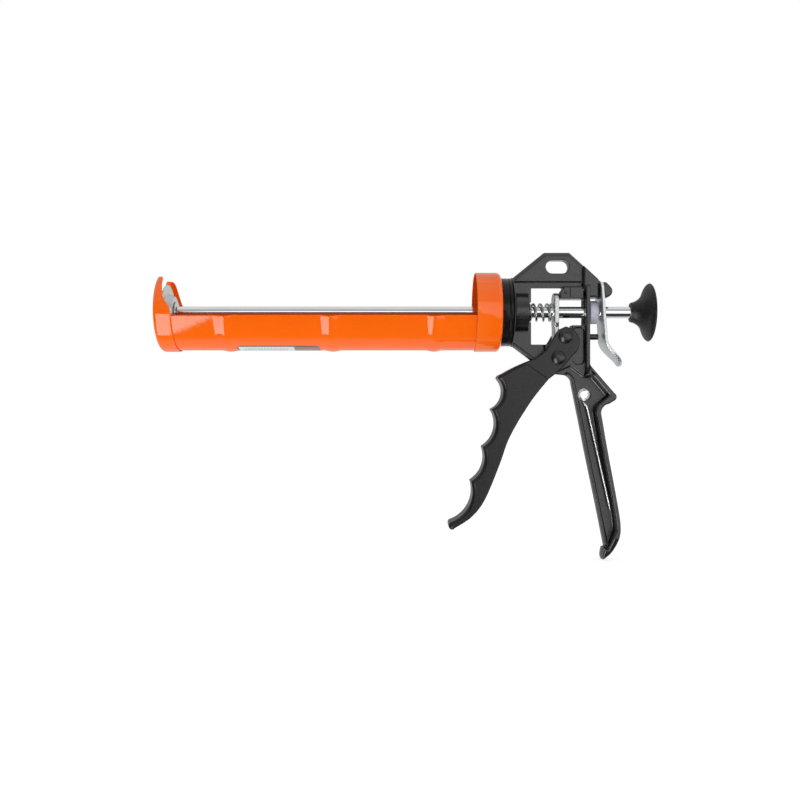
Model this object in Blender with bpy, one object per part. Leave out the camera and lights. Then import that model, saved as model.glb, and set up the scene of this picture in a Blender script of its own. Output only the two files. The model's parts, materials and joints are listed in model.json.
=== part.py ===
"""A half-barrel caulking gun for one 310 ml cartridge: an open trough that turns on a cast frame,
a push rod driven by a gripping plate, a squeezed trigger and a release lever.

Every piece is laid out in the tool's own frame: x runs rearwards along the push rod, z is up, and
x = z = 0 is the point of the rod's axis under the hang slot. The empty "tool" lowers that frame so
that the world's origin is the middle of the hang slot's upper flat.
"""
import math

import bmesh
import bpy
from mathutils import Matrix, Vector

MM = 0.001
GAP = 0.3 * MM               # air between neighbouring pieces
AXIS_DROP = 36.2 * MM        # rod axis below the hang slot's upper flat

# push rod, pusher and knob
ROD_R = 4.15 * MM
ROD_FRONT = -265.2 * MM
ROD_REAR = 57.5 * MM
STUD_R = 3.0 * MM
PUSHER_R = 19.2 * MM
PUSHER_FRONT = -272.4 * MM
PUSHER_DISH = 4.6 * MM
PUSHER_SHEET = 1.2 * MM
KNOB_FRONT = 51.4 * MM

# barrel: trough, cap and collar, all of one sheet thickness
SHEET = 0.8 * MM
BARREL_R = 27.6 * MM
TROUGH_R = BARREL_R - SHEET - GAP
TROUGH_EDGE_Z = -4.6 * MM
CAP_FRONT = -275.8 * MM
CAP_REAR = -263.2 * MM
CORNER_R = 3.0 * MM
COLLAR_FRONT = -57.4 * MM
COLLAR_REAR = -40.0 * MM
BEADS = (-227.9 * MM, -156.5 * MM, -85.5 * MM)
BEAD_HALF = 7.0 * MM
BEAD_HEIGHT = 0.9 * MM
NOZZLE_SLOT_HALF = 8.0 * MM
EAR_TOP = 23.4 * MM
LABEL_SPAN = (-222.0 * MM, -165.0 * MM)

# swivel between barrel and frame
SPIGOT_R = 11.2 * MM
SPIGOT_FRONT = -48.6 * MM
FRAME_FACE = -32.3 * MM
SWIVEL_R = 23.7 * MM
SWIVEL_GROOVE = (-35.2 * MM, -34.5 * MM)

# cast frame: half thicknesses across y
WEB = 2.2 * MM
RIB = 4.0 * MM
LUG = 6.0 * MM
PALM = 10.5 * MM
SHOULDER = 8.0 * MM
BOSS_R = 12.7 * MM
BOSS_REAR = -20.4 * MM
WINDOW = (-18.0 * MM, 17.5 * MM)
WALL = (19.0 * MM, 22.0 * MM)
WALL_FOOT = -37.5 * MM

# trigger and its two pins, as (x, z)
PIVOT = (-0.3 * MM, -32.1 * MM)
THRUST = (4.6 * MM, -17.45 * MM)
CHEEK = (6.4 * MM, 9.5 * MM)
GRIP = 10.5 * MM
RIVET_HEAD_R = 5.0 * MM

# drive plate, its spring, the rear bush and the release lever
PLATE = (-2.6 * MM, 0.8 * MM)
BUSH = (22.3 * MM, 28.1 * MM)
LEVER_TOP = (29.7 * MM, 19.6 * MM)
LEVER_BEND = (32.4 * MM, -20.6 * MM)
LEVER_CURL = (41.0 * MM, -32.0 * MM)
LEVER_TIP = (44.0 * MM, -37.6 * MM)
LEVER_SHEET = 2.0 * MM
LEVER_HALF = 11.5 * MM
LEVER_PIVOT = (29.9 * MM, 17.0 * MM)

# piercing wire, folded beside the handle
WIRE_EYE = (19.05 * MM, -57.55 * MM)
WIRE_TIP = (36.4 * MM, -137.1 * MM)
WIRE_R = 0.7 * MM
WIRE_Y = -5.2 * MM


# ---------- outlines: lists of (a, b) points ----------

def millimetres(*points):
    return [(a * MM, b * MM) for a, b in points]


def arc(start, end, sagitta, steps=5):
    """The points after start, up to end, on the arc that bulges by sagitta to the left of the way."""
    start, end = Vector(start), Vector(end)
    half = (end - start).length / 2
    left = Vector((start.y - end.y, end.x - start.x)).normalized()
    radius = (half ** 2 + sagitta ** 2) / (2 * sagitta)
    centre = (start + end) / 2 + left * (sagitta - radius)
    turn = 2 * math.asin(max(-1.0, min(1.0, half / radius)))
    points = []
    for i in range(1, steps + 1):
        arm = start - centre
        arm.rotate(Matrix.Rotation(-turn * i / steps, 2))
        points.append(tuple(centre + arm))
    return points


def spline(points, steps=4):
    """A Catmull-Rom curve through the points."""
    padded = [points[0], *points, points[-1]]
    curve = [points[0]]
    for p0, p1, p2, p3 in zip(padded, padded[1:], padded[2:], padded[3:]):
        for i in range(1, steps + 1):
            t = i / steps
            weights = (-t + 2 * t ** 2 - t ** 3, 2 - 5 * t ** 2 + 3 * t ** 3,
                       t + 4 * t ** 2 - 3 * t ** 3, t ** 3 - t ** 2)
            near = (p0, p1, p2, p3)
            curve.append(tuple(sum(w * p[k] for w, p in zip(weights, near)) / 2 for k in (0, 1)))
    return curve


def strip(points, width):
    """The closed outline of a band of even width to the left of an open line."""
    inner = []
    for i, point in enumerate(points):
        before = Vector(points[max(i - 1, 0)])
        after = Vector(points[min(i + 1, len(points) - 1)])
        here = Vector(point)
        into = (here - before).normalized() if i else (after - here).normalized()
        out = (after - here).normalized() if i < len(points) - 1 else into
        along = (into + out).normalized()
        reach = width / max(0.5, along.dot(into))
        inner.append(tuple(here + Vector((-along.y, along.x)) * reach))
    return list(points) + inner[::-1]


def shifted(points, dx, dz):
    return [(x + dx, z + dz) for x, z in points]


# ---------- solids ----------

def loft(rings, looped=False):
    """A mesh skinned over equal rings of points, with capped ends or, when looped, joined ends."""
    mesh = bmesh.new()
    rows = [[mesh.verts.new(point) for point in ring] for ring in rings]
    pairs = list(zip(rows, rows[1:]))
    if looped:
        pairs.append((rows[-1], rows[0]))
    else:
        mesh.faces.new(rows[0])
        mesh.faces.new(rows[-1])
    for row, following in pairs:
        for i in range(len(row)):
            j = (i + 1) % len(row)
            mesh.faces.new((row[i], row[j], following[j], following[i]))
    return mesh


def prism(outline, low, high, along="Y"):
    """An outline of (x, z) drawn out along Y, or of (y, z) drawn out along X."""
    if along == "Y":
        return loft([[(a, t, b) for a, b in outline] for t in (low, high)])
    return loft([[(t, a, b) for a, b in outline] for t in (low, high)])


def spoke(along, centre, distance, radius, angle):
    across, up = radius * math.sin(angle), radius * math.cos(angle)
    if along == "Y":
        return (centre[0] + across, distance, centre[1] + up)
    return (distance, centre[0] + across, centre[1] + up)


def bar(stations, along="X", centre=(0.0, 0.0), sides=24):
    """A solid turned shape: circles of (distance, radius) along X about (y, z), or along Y about (x, z)."""
    angles = [2 * math.pi * i / sides for i in range(sides)]
    return loft([[spoke(along, centre, d, r, angle) for angle in angles] for d, r in stations])


def ring(profile, along="X", centre=(0.0, 0.0), sides=32):
    """A turned shape with an open middle, from a closed profile of (distance, radius)."""
    angles = [2 * math.pi * i / sides for i in range(sides)]
    return loft([[spoke(along, centre, d, r, angle) for d, r in profile] for angle in angles], looped=True)


def tube(path, radius, sides=6):
    """A wire of round section along a path, its section carried on without twist."""
    path = [Vector(point) for point in path]
    side = None
    rings = []
    for i, point in enumerate(path):
        tangent = (path[min(i + 1, len(path) - 1)] - path[max(i - 1, 0)]).normalized()
        side = side or tangent.orthogonal()
        side = (side - tangent * side.dot(tangent)).normalized()
        other = tangent.cross(side)
        angles = [2 * math.pi * k / sides for k in range(sides)]
        rings.append([point + (side * math.cos(a) + other * math.sin(a)) * radius for a in angles])
    return loft(rings)


def coil(low, high, mean_radius, wire_radius, turns, dead_turns, steps=16):
    """A compression spring about X between two seats, its end turns wound nearly shut."""
    low, high = low + wire_radius, high - wire_radius
    dead = dead_turns * wire_radius * 2.15
    open_pitch = (high - low - 2 * dead) / (turns - 2 * dead_turns)
    path = []
    for i in range(int(turns * steps) + 1):
        turn = i / steps
        dead_pitch = dead / dead_turns
        x = low + min(turn, dead_turns) * dead_pitch
        x += min(max(turn - dead_turns, 0), turns - 2 * dead_turns) * open_pitch
        x += max(turn - (turns - dead_turns), 0) * dead_pitch
        angle = 2 * math.pi * turn
        path.append((x, -mean_radius * math.sin(angle), mean_radius * math.cos(angle)))
    return tube(path, wire_radius)


# ---------- objects ----------

def paint(name, colour, roughness, metallic):
    material = bpy.data.materials.new(name)
    material.use_nodes = True
    shader = material.node_tree.nodes["Principled BSDF"]
    shader.inputs["Base Color"].default_value = (*colour, 1.0)
    shader.inputs["Roughness"].default_value = roughness
    shader.inputs["Metallic"].default_value = metallic
    return material


def holder(name, parent=None, x=0.0, z=0.0):
    """An empty on a joint's axis."""
    empty = bpy.data.objects.new(name, None)
    bpy.context.scene.collection.objects.link(empty)
    empty.parent = parent
    empty.location = (x, 0.0, z)
    return empty


def piece(name, mesh, parent, look=None):
    """An object whose mesh is drawn in the tool's frame and whose origin is its holder's."""
    bmesh.ops.recalc_face_normals(mesh, faces=mesh.faces)
    data = bpy.data.meshes.new(name)
    mesh.to_mesh(data)
    mesh.free()
    if parent.parent:
        data.transform(Matrix.Translation(-parent.location))
    obj = bpy.data.objects.new(name, data)
    bpy.context.scene.collection.objects.link(obj)
    obj.parent = parent
    if look:
        data.materials.append(look)
    return obj


def smooth(obj):
    obj.data.shade_smooth()
    obj.data.set_sharp_from_angle(angle=math.radians(40))
    return obj


def combine(obj, operation, meshes):
    """Booleans that stay on the object, each with its own hidden tool shape."""
    for i, mesh in enumerate(meshes):
        tool = piece(f"{obj.name}_{operation.lower()}_{i}", mesh, obj.parent)
        tool.hide_render = True
        tool.display_type = "WIRE"
        step = obj.modifiers.new(tool.name, "BOOLEAN")
        step.operation = operation
        step.solver = "EXACT"
        step.object = tool
    return obj


# ---------- barrel ----------

def bead_rise(x):
    nearest = min(abs(x - bead) for bead in BEADS)
    if nearest >= BEAD_HALF:
        return 0.0
    return BEAD_HEIGHT * (0.5 + 0.5 * math.cos(math.pi * nearest / BEAD_HALF))


def shell_section(x, inner, outer, half_angle, steps=26):
    """A C-shaped section, open at the top, as one closed ring of points."""
    angles = [math.pi + half_angle * (2 * i / steps - 1) for i in range(steps + 1)]
    section = [(x, outer * math.sin(a), outer * math.cos(a)) for a in angles]
    return section + [(x, inner * math.sin(a), inner * math.cos(a)) for a in reversed(angles)]


def barrel_trough(parent, look):
    front = CAP_FRONT + CORNER_R + GAP
    rear = COLLAR_REAR - CORNER_R - GAP
    stations = [front]
    for bead in BEADS:
        stations += [bead + BEAD_HALF * k / 2 for k in range(-2, 3)]
    stations.append(rear)
    half_angle = math.pi - math.acos(TROUGH_EDGE_Z / TROUGH_R)
    rings = [shell_section(x, TROUGH_R - SHEET + bead_rise(x), TROUGH_R + bead_rise(x), half_angle)
             for x in stations]
    smooth(piece("barrel_trough", loft(rings), parent, look))


def trough_label(parent, look):
    thickness = 0.15 * MM
    inner = TROUGH_R + GAP
    rings = [shell_section(x, inner, inner + thickness, math.radians(25), steps=8) for x in LABEL_SPAN]
    smooth(piece("trough_label", loft(rings), parent, look))


def bent_corner(x, face, sign, outer):
    """The rounded outside corner between an end face at x and the barrel's wall."""
    return [(x + sign * (face - face * math.cos(a)), outer - face + face * math.sin(a))
            for a in (math.pi / 2 * i / 3 for i in range(4))]


def front_cap(parent, look):
    inner_r = BARREL_R - SHEET
    outside = bent_corner(CAP_FRONT, CORNER_R, 1, BARREL_R)
    inside = bent_corner(CAP_FRONT + SHEET, CORNER_R - SHEET, 1, inner_r)
    centre_r = 2.0 * MM
    profile = [(CAP_FRONT, centre_r)] + outside + [(CAP_REAR, BARREL_R), (CAP_REAR, inner_r)]
    profile += inside[::-1] + [(CAP_FRONT + SHEET, centre_r)]
    cap = smooth(piece("front_cap", ring(profile, sides=44), parent, look))
    half = NOZZLE_SLOT_HALF
    tip = 4.0 * MM
    slot = [(half, 0.0), (half, EAR_TOP - tip)]
    slot += arc(slot[-1], (half + tip, EAR_TOP), 1.17 * MM)
    slot += [(BARREL_R, EAR_TOP), (BARREL_R, BARREL_R + 2 * MM)]
    slot += [(-y, z) for y, z in reversed(slot)]
    slot += arc(slot[-1], (half, 0.0), -half, steps=10)[:-1]
    ears = millimetres((-262, 40), (-270.9, 40))
    ears += spline(millimetres((-270.9, 21.5), (-270.4, 17), (-269.6, 12.5), (-268.5, 8), (-266.9, 5.0),
                               (-265.3, 3.2), (-263.9, 0.2), (-263.3, -2.5), (-263.1, -4.5)), steps=2)
    ears += millimetres((-262, -4.5))
    combine(cap, "DIFFERENCE", [
        prism(slot, CAP_FRONT - 2 * MM, CAP_REAR + 2 * MM, along="X"),
        prism(ears, -2 * BARREL_R, 2 * BARREL_R),
    ])


def rear_collar(parent, look):
    outside = bent_corner(COLLAR_REAR, CORNER_R, -1, BARREL_R)
    inside = bent_corner(COLLAR_REAR - SHEET, CORNER_R - SHEET, -1, BARREL_R - SHEET)
    hole_r = SPIGOT_R + GAP
    profile = [(COLLAR_REAR, hole_r)] + outside
    profile += [(COLLAR_FRONT, BARREL_R), (COLLAR_FRONT, BARREL_R - SHEET)]
    profile += inside[::-1] + [(COLLAR_REAR - SHEET, hole_r)]
    smooth(piece("rear_collar", ring(profile, sides=44), parent, look))


# ---------- swivel ----------

def swivel_ring(parent, look):
    front, rear = COLLAR_REAR + GAP, FRAME_FACE - GAP
    bore, depth = SPIGOT_R + GAP, 0.8 * MM
    profile = [(rear, bore), (front, bore), (front, SWIVEL_R), (SWIVEL_GROOVE[0], SWIVEL_R)]
    profile += [(x, SWIVEL_R - depth) for x in SWIVEL_GROOVE]
    profile += [(SWIVEL_GROOVE[1], SWIVEL_R), (rear, SWIVEL_R)]
    smooth(piece("swivel_ring", ring(profile), parent, look))


def barrel_washer(parent, look):
    rear = COLLAR_REAR - SHEET - GAP
    inner, outer, thickness = SPIGOT_R + GAP, 18.5 * MM, 1.2 * MM
    profile = [(rear - thickness, inner), (rear, inner), (rear, outer), (rear - thickness, outer)]
    smooth(piece("barrel_washer", ring(profile), parent, look))


def hexagon(across_flats):
    radius = across_flats / math.sqrt(3)
    return [(radius * math.cos(math.pi / 3 * i), radius * math.sin(math.pi / 3 * i)) for i in range(6)]


def hex_nut(name, front, rear, across_flats, bore, parent, look):
    nut = piece(name, prism(hexagon(across_flats), front, rear, along="X"), parent, look)
    combine(nut, "DIFFERENCE", [bar([(front - MM, bore), (rear + MM, bore)])])


def barrel_nut(parent, look):
    rear = COLLAR_REAR - SHEET - 2 * GAP - 1.2 * MM
    hex_nut("barrel_nut", rear - 4.8 * MM, rear, 30.0 * MM, SPIGOT_R + GAP, parent, look)


# ---------- frame ----------

def palm_edge():
    """The handle's rear edge, from the rear wall's foot round the thumb spur down to the foot's tip."""
    edge = millimetres((22, -37.5), (38.4, -56.4))
    edge += arc(edge[-1], (38.6 * MM, -61.6 * MM), 1.5 * MM, steps=4)
    edge += millimetres((34.6, -64.0))
    edge += arc(edge[-1], (29.6 * MM, -72.0 * MM), -2.2 * MM, steps=4)
    back = spline(millimetres((29.6, -72.0), (33.9, -97), (39.2, -125.3), (42.7, -147.3),
                              (41.5, -158.1), (37.0, -167.5), (31.8, -172.2)), steps=3)
    return edge + back[1:]


def toe():
    """The foot's blunt front end, from under it up to the handle's front edge."""
    return millimetres((29.3, -170.9), (27.9, -169.2), (28.3, -167.5), (31.2, -163.1))


def palm_inside():
    """The inner side of the palm flange, from the foot back up to the rear wall's foot."""
    line = spline(millimetres((34.2, -165.2), (36.0, -161.0), (38.2, -154.1), (39.4, -147.3),
                              (36.0, -126), (30.5, -97.5), (26.0, -72.0)), steps=3)
    line += arc(line[-1], (29.2 * MM, -62.8 * MM), 2.0 * MM, steps=4)
    return line + millimetres((34.8, -57.9), (19.0, -39.2))


def handle_front():
    """The handle's front edge, from the foot up to the crotch behind the trigger."""
    line = spline(millimetres((33.0, -162.8), (27.6, -135.7), (20.5, -101.6), (13.5, -66.4), (10.2, -50.1)),
                  steps=3)
    return line + arc(line[-1], (5.9 * MM, -44.0 * MM), -1.2 * MM, steps=4)


def hook_nose():
    """The rear end of the arm that holds the release lever: sloped above, round behind."""
    return spline(millimetres((33.6, 20.8), (36.0, 18.5), (37.6, 16.4), (38.1, 14.5), (37.4, 12.2),
                              (35.7, 10.7), (33.2, 9.8)), steps=2)


def frame_outline():
    outline = millimetres((-31.5, 23.4), (-9.1, 41.5), (8.5, 41.5), (31.3, 20.8)) + hook_nose()
    outline += millimetres((22, 10)) + palm_edge() + toe() + handle_front()
    return outline + millimetres((-4, -43), (-18.1, -33.5), (-31.5, -23.4))


def frame_ribs():
    """Everything that stands out from the frame's flat web."""
    roof = strip(millimetres((27.8, 23.9), (8.5, 41.5), (-9.1, 41.5), (-31.5, 23.4)), 2.6 * MM)
    lintel = millimetres((-31.5, 16.9), (19, 16.9), (19, 21), (-31.5, 21))
    shoulder = millimetres((17.5, 16.0), (22, 10), (28, 10), (28, 22.4), (17.5, 32.1))
    hook = millimetres((31.2, 20.7)) + hook_nose() + millimetres((31.8, 9.8))
    stop_block = millimetres((1.4, 9.0), (18, 9.0), (18, 17.4), (4.3, 17.4), (2.9, 15.9), (1.4, 12.9))
    lug = millimetres((9.8, -9.2), (20, -9.2), (20, -38), (6, -43.4), (-4, -42.6), (-9, -37), (-9, -22.5),
                      (9.8, -22.5))
    apron = strip(millimetres((-31.5, -23.4), (-18.1, -33.5), (-4, -43)), 2.4 * MM)
    wall = [(WALL[0], 17 * MM), (WALL[0], WALL_FOOT - MM), (WALL[1], WALL_FOOT), (WALL[1], 17 * MM)]
    return [
        prism(roof, -RIB, RIB),
        prism(lintel, -RIB, RIB),
        prism(shoulder, -SHOULDER, SHOULDER),
        prism(hook, -LUG, LUG),
        prism(stop_block, -LUG, LUG),
        prism(lug, -LUG, LUG),
        prism(apron, -RIB, RIB),
        prism(wall, -9 * MM, 9 * MM),
        prism(palm_edge() + toe() + palm_inside(), -PALM, PALM),
        prism(strip(handle_front()[::-1][4:], 2.3 * MM), -RIB, RIB),
        bar([(WALL[1] - MM, 2.1 * MM), (29.2 * MM, 2.1 * MM)], centre=(0.0, -17.1 * MM), sides=12),
    ]


def frame_bores():
    """The holes and pockets cut after the ribs are on."""
    half = 4.65 * MM
    slot = [(-3.45 * MM, 26.9 * MM), (3.45 * MM, 26.9 * MM)]
    slot += arc(slot[-1], (3.45 * MM, 36.2 * MM), -half, steps=8)
    slot += [(-3.45 * MM, 36.2 * MM)]
    slot += arc(slot[-1], slot[0], -half, steps=8)[:-1]
    window = millimetres((-18, -22.5), (9.6, -22.5), (9.6, -9.2), (17.5, -9.2), (17.5, 8.9), (1.3, 8.9),
                         (1.3, 12.9), (4.2, 16.9), (-18, 16.9))
    return [
        prism(slot, -2 * PALM, 2 * PALM),
        prism(window, -2 * BOSS_R, 2 * BOSS_R),
        bar([(SPIGOT_FRONT - MM, ROD_R + GAP), (WALL[1] + MM, ROD_R + GAP)]),
        bar([(-20.6 * MM, 7.0 * MM), (WINDOW[0] + MM, 7.0 * MM)]),
        bar([(-PALM, 3.0 * MM + GAP), (PALM, 3.0 * MM + GAP)], along="Y", centre=PIVOT),
        bar([(-PALM, 4.3 * MM), (PALM, 4.3 * MM)], along="Y", centre=WIRE_EYE, sides=20),
    ]


def frame_body(parent, look):
    body = piece("frame_body", prism(frame_outline(), -WEB, WEB), parent, look)
    turned = [
        bar([(FRAME_FACE, 23.4 * MM), (FRAME_FACE + 0.9 * MM, 23.4 * MM), (FRAME_FACE + 3.0 * MM, BOSS_R),
             (BOSS_REAR, BOSS_R)], sides=36),
        bar([(SPIGOT_FRONT, SPIGOT_R), (FRAME_FACE + MM, SPIGOT_R)], sides=36),
    ]
    combine(body, "UNION", turned + frame_ribs())
    combine(body, "DIFFERENCE", frame_bores())


def rear_bush(parent, look):
    front, rear = BUSH
    cup = 2.4 * MM
    outer, edge = 8.1 * MM, 0.7 * MM
    profile = [(front, ROD_R + GAP), (front + cup, ROD_R + GAP), (front + cup, 6.3 * MM), (rear, 6.3 * MM),
               (rear, outer - edge), (rear - edge, outer), (front + edge, outer), (front, outer - edge)]
    smooth(piece("rear_bush", ring(profile, sides=32), parent, look))


def release_spring(parent, look):
    mesh = coil(BUSH[0] + 2.7 * MM, 29.35 * MM, 5.3 * MM, 0.4 * MM, 2.5, 0.6, steps=14)
    smooth(piece("release_spring", mesh, parent, look))


def drive_spring(parent, look):
    mesh = coil(-20.3 * MM, PLATE[0] - GAP, 5.8 * MM, 0.8 * MM, 4.2, 0.75)
    smooth(piece("drive_spring", mesh, parent, look))


def pivot_rivet(parent, look):
    rivet("pivot_rivet", PIVOT, 3.0 * MM, parent, look)


def rivet(name, centre, shank_r, parent, look):
    """A pin across the trigger's cheeks with a domed head at each end."""
    seat = CHEEK[1] + GAP
    rise = 2.4 * MM
    angles = [math.pi / 2 * i / 5 for i in range(5)]
    dome = [(seat + rise * math.sin(a), RIVET_HEAD_R * math.cos(a)) for a in angles]
    dome.append((seat + rise, 0.6 * MM))
    side = [(seat, shank_r)] + dome
    stations = [(-y, r) for y, r in reversed(side)] + side
    smooth(piece(name, bar(stations, along="Y", centre=centre), parent, look))


# ---------- push rod ----------

def push_rod(parent, look):
    chamfer = 0.6 * MM
    tip = PUSHER_FRONT + 0.5 * MM
    stations = [(tip, STUD_R - chamfer), (tip + chamfer, STUD_R), (ROD_FRONT, STUD_R), (ROD_FRONT, ROD_R),
                (ROD_REAR - chamfer, ROD_R), (ROD_REAR, ROD_R - chamfer)]
    smooth(piece("push_rod", bar(stations), parent, look))


def pusher_plate(parent, look):
    wide, narrow, slant = 12.0 * MM, 10.0 * MM, 0.8 * MM
    bore = STUD_R + GAP
    floor = PUSHER_FRONT + PUSHER_DISH
    front = [(PUSHER_FRONT, PUSHER_R), (PUSHER_FRONT, wide), (floor, narrow), (floor, bore)]
    rear = [(x + PUSHER_SHEET, r + slant if r in (wide, narrow) else r) for x, r in reversed(front)]
    smooth(piece("pusher_plate", ring(front + rear), parent, look))


def pusher_washer(parent, look):
    rear = ROD_FRONT - GAP
    front = PUSHER_FRONT + PUSHER_DISH + PUSHER_SHEET + GAP
    profile = [(front, STUD_R + GAP), (rear, STUD_R + GAP), (rear, 7.5 * MM), (front, 7.5 * MM)]
    smooth(piece("pusher_washer", ring(profile, sides=24), parent, look))


def pusher_nut(parent, look):
    rear = PUSHER_FRONT + PUSHER_DISH - GAP
    hex_nut("pusher_nut", rear - 3.2 * MM, rear, 10.0 * MM, STUD_R + GAP, parent, look)


def rod_knob(parent, look):
    bore = ROD_R + GAP
    flare = spline(millimetres((52.0, 6.9), (54.7, 7.8), (57.9, 10.0), (60.0, 12.9), (61.4, 16.0),
                               (62.4, 18.2), (63.5, 19.7)), steps=2)
    stations = [(ROD_REAR + GAP, bore), (KNOB_FRONT, bore), (KNOB_FRONT, 6.3 * MM)]
    stations += flare + millimetres((64.4, 20.3), (65.2, 19.4), (64.7, 16.0), (64.2, 8.0), (64.2, 1.0))
    smooth(piece("rod_knob", bar(stations, sides=32), parent, look))


# ---------- drive plate and levers ----------

def drive_plate(parent, look):
    top = arc((-7.0 * MM, 9.5 * MM), (7.0 * MM, 9.5 * MM), 4.1 * MM, steps=10)
    outline = [(-7.0 * MM, 9.5 * MM)] + top
    outline += millimetres((7, -7.5), (5.6, -10.5), (5.6, -21.4), (-5.6, -21.4), (-5.6, -10.5), (-7, -7.5))
    plate = piece("drive_plate", prism(outline, *PLATE, along="X"), parent, look)
    combine(plate, "DIFFERENCE", [bar([(PLATE[0] - MM, ROD_R + GAP), (PLATE[1] + MM, ROD_R + GAP)])])


def release_lever(parent, look):
    """A bent strip, forked over the frame's arm, cut to its outline as seen along the rod."""
    path = [LEVER_TIP, LEVER_CURL, LEVER_BEND, LEVER_TOP]
    centred = shifted(strip(path, LEVER_SHEET), LEVER_SHEET / 2, 0)
    blank = piece("release_lever", prism(centred[::-1], -LEVER_HALF, LEVER_HALF), parent, look)
    half = LEVER_HALF / MM
    outline = millimetres((half, 18.0), (half, -26.0))
    outline += arc(outline[-1], (-half * MM, -26.0 * MM), 11.45 * MM, steps=14)
    outline += millimetres((-half, 18.0), (-half + 2, 20.5), (-3.3, 20.5), (-3.3, 9.6),
                           (3.3, 9.6), (3.3, 20.5), (half - 2, 20.5))
    combine(blank, "INTERSECT", [prism(outline, 20 * MM, 50 * MM, along="X")])
    combine(blank, "DIFFERENCE", [bar([(25 * MM, 4.6 * MM), (36 * MM, 4.6 * MM)])])


def trigger_outline():
    """Head, four finger scallops, tip and back edge."""
    line = millimetres((5.2, -10.3))
    line += arc(line[-1], (-3.8 * MM, -18.4 * MM), -1.3 * MM, steps=4)
    line += millimetres((-6.5, -22.9))
    line += arc(line[-1], (-19.7 * MM, -33.9 * MM), 1.6 * MM, steps=4)
    line += arc(line[-1], (-39.0 * MM, -43.3 * MM), -0.5 * MM, steps=3)
    for cusp, scallop in (((-42.0, -46.3), -0.8), ((-46.4, -67.6), 5.8), ((-52.6, -93.8), 5.8),
                          ((-60.6, -117.5), 4.6), ((-74.6, -145.6), 6.4), ((-75.9, -148.0), -0.5),
                          ((-71.8, -149.8), -1.9)):
        steps = 8 if abs(scallop) > 3 else 3
        line += arc(line[-1], (cusp[0] * MM, cusp[1] * MM), scallop * MM, steps)
    line += spline(millimetres((-71.3, -149.5), (-60.0, -142.0), (-50.7, -129.7), (-40.8, -106.0),
                               (-33.5, -86.3), (-19.5, -62.8), (-7.0, -47.0)), steps=3)
    line += millimetres((-1.7, -42.9), (4.5, -37), (9.8, -30.2))
    line += arc(line[-1], (9.2 * MM, -12.0 * MM), -5.2 * MM, steps=7)
    return line


def trigger_lever(parent, look):
    """A channel open to the rear: two cheeks over the frame's lug, then the finger grip."""
    outline = trigger_outline()
    lever = piece("trigger_lever", prism(outline, -GRIP, GRIP), parent, look)
    head = millimetres((-24.7, -35.0), (-6.9, -47.1), (20, -60), (30, -20), (20, 0), (-20, 0))
    channel = shifted(outline, 3.6 * MM, 0.0)
    slot_half, cheek_half = CHEEK
    combine(lever, "DIFFERENCE", [
        prism(head, -slot_half, slot_half),
        prism(channel, -slot_half - 0.2 * MM, slot_half + 0.2 * MM),
        prism(head, cheek_half, 2 * GRIP),
        prism(head, -2 * GRIP, -cheek_half),
        bar([(-2 * GRIP, 3.0 * MM + GAP), (2 * GRIP, 3.0 * MM + GAP)], along="Y", centre=PIVOT),
        bar([(-2 * GRIP, 2.2 * MM + GAP), (2 * GRIP, 2.2 * MM + GAP)], along="Y", centre=THRUST),
    ])


def thrust_pin(parent, look):
    rivet("thrust_pin", THRUST, 2.2 * MM, parent, look)


def thrust_roller(parent, look):
    half, bore, outer = CHEEK[0] - GAP, 2.2 * MM + GAP, THRUST[0] - PLATE[1] - GAP
    profile = [(-half, bore), (half, bore), (half, outer), (-half, outer)]
    smooth(piece("thrust_roller", ring(profile, along="Y", centre=THRUST, sides=24), parent, look))


def pierce_wire(parent, look):
    """An eye inside the handle's hole, a step out past the web, and a straight leg to the point."""
    eye = Vector((WIRE_EYE[0], 0.0, WIRE_EYE[1]))
    tip = Vector((WIRE_TIP[0], WIRE_Y, WIRE_TIP[1]))
    down = Vector((tip.x - eye.x, 0.0, tip.z - eye.z)).normalized()
    across = Vector((-down.z, 0.0, down.x))
    eye_r = 3.3 * MM
    path = []
    for i in range(16):
        angle = math.radians(60 + 20 * i)
        path.append(eye + (down * math.cos(angle) + across * math.sin(angle)) * eye_r)
    path.append(eye + down * eye_r + Vector((0, 0.35 * WIRE_Y, 0)))
    path.append(eye + down * (eye_r + 0.1 * MM) + Vector((0, 0.8 * WIRE_Y, 0)))
    path.append(eye + down * (eye_r + 1.2 * MM) + Vector((0, WIRE_Y, 0)))
    path.append(tip)
    smooth(piece("pierce_wire", tube(path, WIRE_R), parent, look))


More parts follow.
